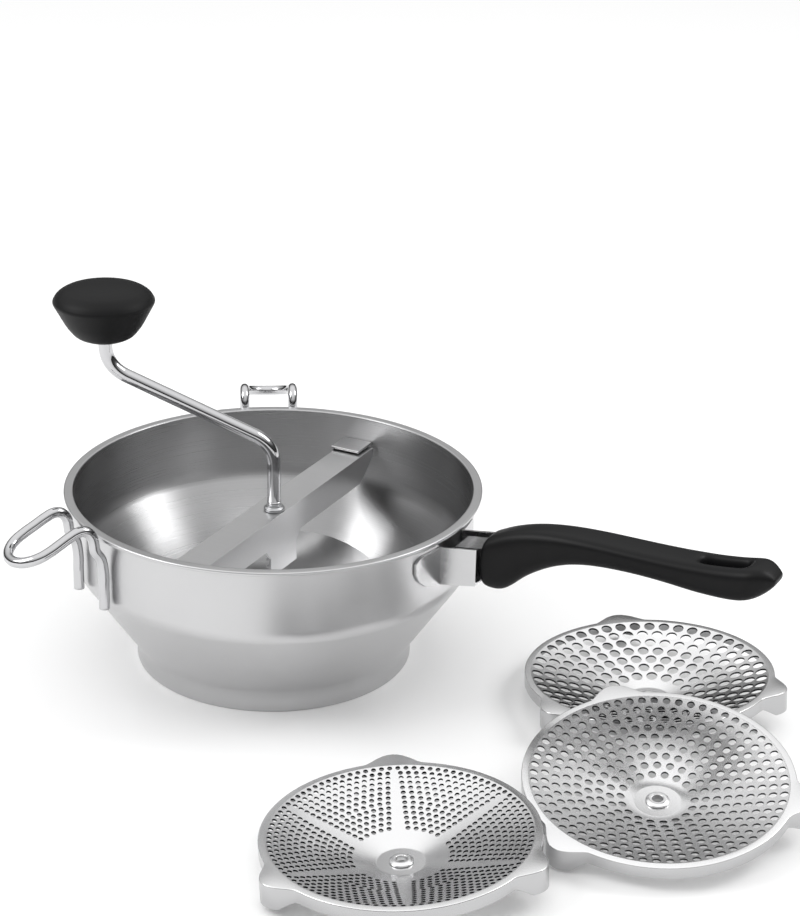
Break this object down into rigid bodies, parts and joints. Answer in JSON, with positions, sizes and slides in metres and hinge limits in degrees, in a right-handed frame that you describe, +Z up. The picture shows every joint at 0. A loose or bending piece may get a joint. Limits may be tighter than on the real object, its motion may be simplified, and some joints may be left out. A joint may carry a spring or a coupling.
{
  "type": "food mill",
  "caption": "Rotary food mill: open steel bowl on a base ring, long black handle, looped wire rests, a crank and blade held by a crossbar, and loose sieve discs.",
  "frame": {"origin": "centre of the whole set's footprint, on the surface it stands on", "axes": "+X along the handle, away from the bowl, +Z up, +Y completes a right-handed frame"},
  "size_m": [0.4668, 0.3808, 0.224],
  "materials": {
    "bowl_steel": "polished stainless steel outside, finely spun inside",
    "sheet_steel": "satin stainless sheet",
    "disc_steel": "bright pressed stainless sheet",
    "wire_chrome": "bright polished steel wire and rod",
    "hardware_steel": "plain steel hardware",
    "black_plastic": "satin black moulded plastic"
  },
  "bodies": {
    "bowl_body": {"bowl": "bowl_steel", "catch_far": "sheet_steel", "catch_near": "sheet_steel", "handle_bracket": "sheet_steel", "handle_tang": "sheet_steel", "handle_grip": "black_plastic", "handle_screw": "hardware_steel", "rest_left": "wire_chrome", "rest_back": "wire_chrome"},
    "bridge": {"crossbar": "sheet_steel", "shaft_bush": "hardware_steel"},
    "crank": {"crank_rod": "wire_chrome", "knob_retainer": "hardware_steel", "spring": "hardware_steel", "spring_washer_top": "hardware_steel", "spring_washer_foot": "hardware_steel", "blade": "sheet_steel", "blade_hub": "sheet_steel", "blade_pin": "hardware_steel"},
    "knob": {"crank_knob": "black_plastic"},
    "fine_sieve": {"disc_fine": "disc_steel", "eyelet_fine": "disc_steel"},
    "coarse_sieve": {"disc_coarse": "disc_steel", "eyelet_coarse": "disc_steel"},
    "medium_sieve": {"disc_medium": "disc_steel", "eyelet_medium": "disc_steel"}
  },
  "joints": [
    {"name": "bridge_turn", "type": "hinge", "parent": "bowl_body", "child": "bridge", "pos_m": [-0.11343, 0.04671, 0.085], "axis": [0, 0, 1], "range_deg": [-25, 0]},
    {"name": "crank_turn", "type": "hinge", "parent": "bridge", "child": "crank", "pos_m": [-0.11343, 0.04671, 0.09], "axis": [0, 0, 1], "continuous": true},
    {"name": "knob_spin", "type": "hinge", "parent": "crank", "child": "knob", "pos_m": [-0.19315, -0.00311, 0.19], "axis": [0, 0, 1], "continuous": true},
    {"name": "fine_lift", "type": "slide", "parent": "bowl_body", "child": "fine_sieve", "axis": [0, 0, 1], "range_m": [0, 0.04]},
    {"name": "coarse_lift", "type": "slide", "parent": "bowl_body", "child": "coarse_sieve", "axis": [0, 0, 1], "range_m": [0, 0.02]},
    {"name": "medium_lift", "type": "slide", "parent": "coarse_sieve", "child": "medium_sieve", "axis": [0, 0, 1], "range_m": [0, 0.02]}
  ]
}
